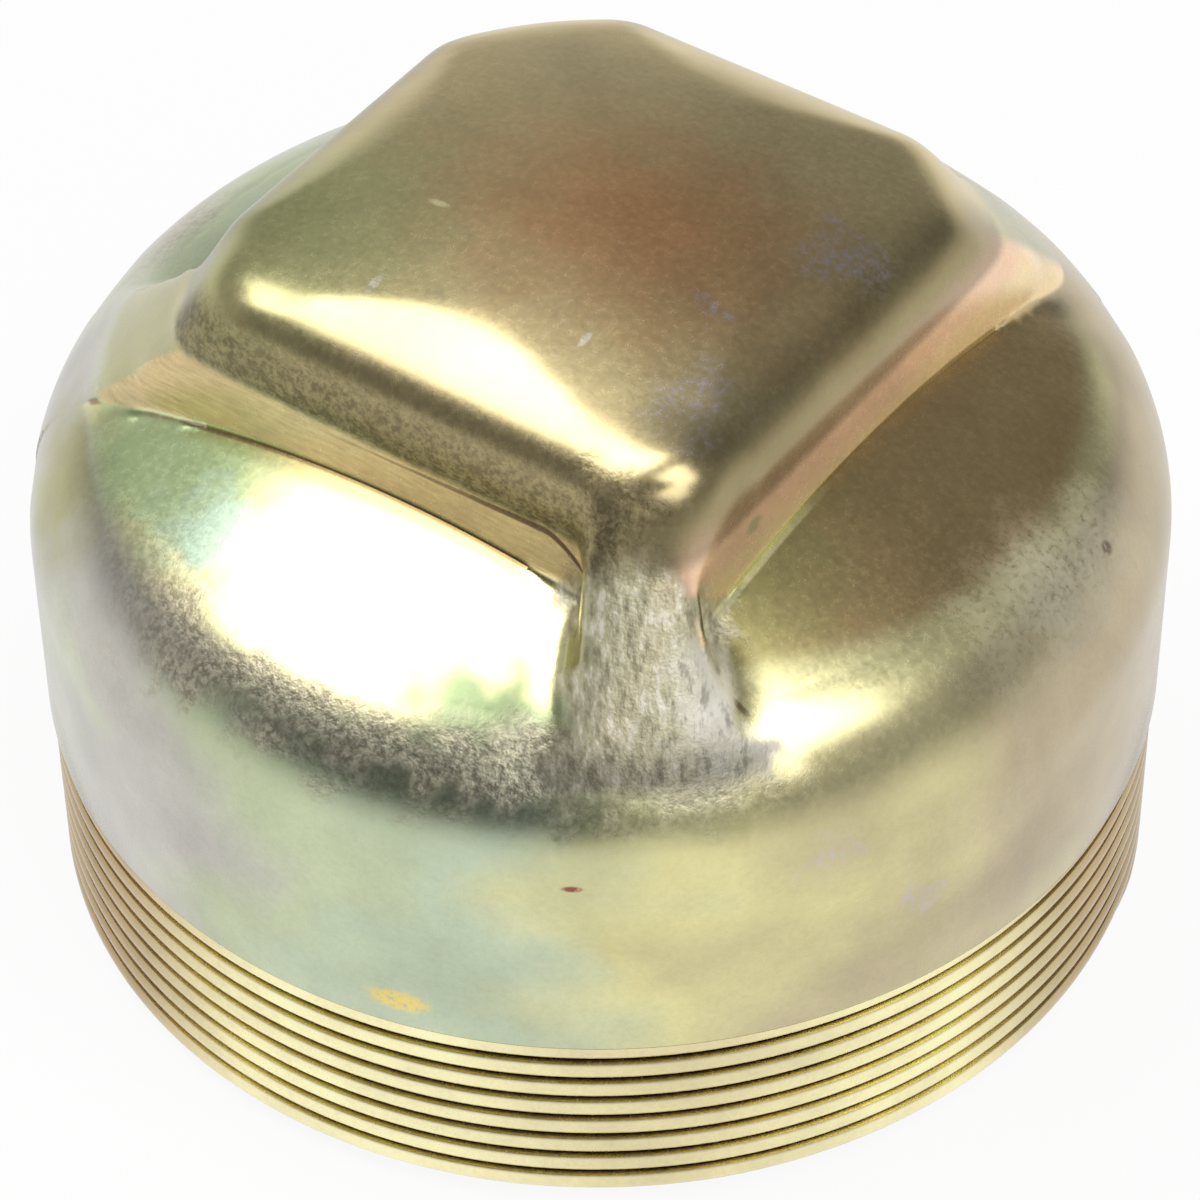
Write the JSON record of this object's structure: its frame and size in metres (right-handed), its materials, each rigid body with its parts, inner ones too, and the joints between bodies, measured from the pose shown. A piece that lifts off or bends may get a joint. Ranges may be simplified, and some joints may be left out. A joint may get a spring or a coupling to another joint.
{
  "type": "hub grease cap",
  "caption": "Pressed steel grease cap: a threaded, open-bottomed cup with a rounded shoulder, pressed-in sides and a raised square for a wrench.",
  "frame": {"origin": "centre of the open rim, in the plane the cap stands on", "axes": "+Z along the cap's axis towards the wrench square; the square's walls face +X, -X, +Y and -Y"},
  "size_m": [0.0624, 0.0624, 0.0443],
  "materials": {
    "grease_cap": "yellow iridescent zinc passivate, satin"
  },
  "bodies": {
    "root": {"grease_cap": "grease_cap"}
  },
  "joints": []
}
